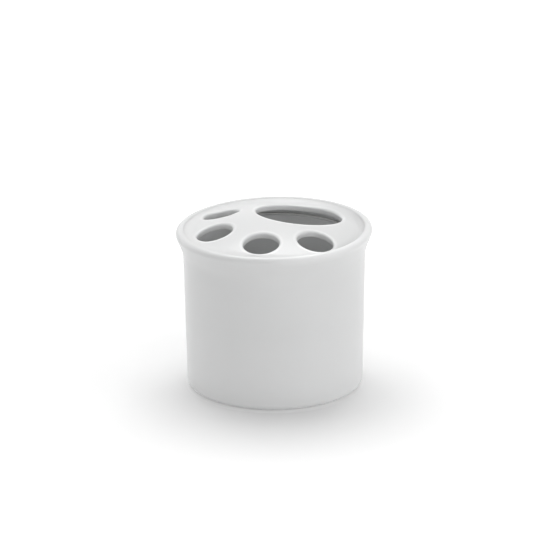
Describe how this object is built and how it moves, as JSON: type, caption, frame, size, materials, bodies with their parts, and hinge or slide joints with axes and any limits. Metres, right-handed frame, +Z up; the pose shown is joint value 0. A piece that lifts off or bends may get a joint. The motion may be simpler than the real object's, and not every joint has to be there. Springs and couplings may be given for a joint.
{
  "type": "holder cup with perforated top",
  "caption": "Round white holder cup with a flared lip and a lift-out domed top whose round openings keep pens, brushes or scissors upright and apart.",
  "frame": {"origin": "on the cup's axis, in the plane that the foot pads stand on", "axes": "+Z up along the cup's axis; -Y towards the viewer of the picture; +X to the viewer's right"},
  "size_m": [0.105, 0.105, 0.0933],
  "materials": {
    "cup_glaze": "white satin glaze",
    "top_glaze": "white satin glaze",
    "ring_silicone": "matt white silicone",
    "pad_rubber": "matt grey rubber"
  },
  "bodies": {
    "cup": {"cup": "cup_glaze", "foot_pad_1": "pad_rubber", "foot_pad_2": "pad_rubber", "foot_pad_3": "pad_rubber", "foot_pad_4": "pad_rubber"},
    "seat": {"seat_ring": "ring_silicone"},
    "top": {"domed_top": "top_glaze"}
  },
  "joints": [
    {"name": "top_turn", "type": "hinge", "parent": "cup", "child": "seat", "pos_m": [0, 0, 0.08], "axis": [0, 0, 1], "continuous": true},
    {"name": "top_lift", "type": "slide", "parent": "seat", "child": "top", "axis": [0, 0, 1], "range_m": [0, 0.03]}
  ]
}
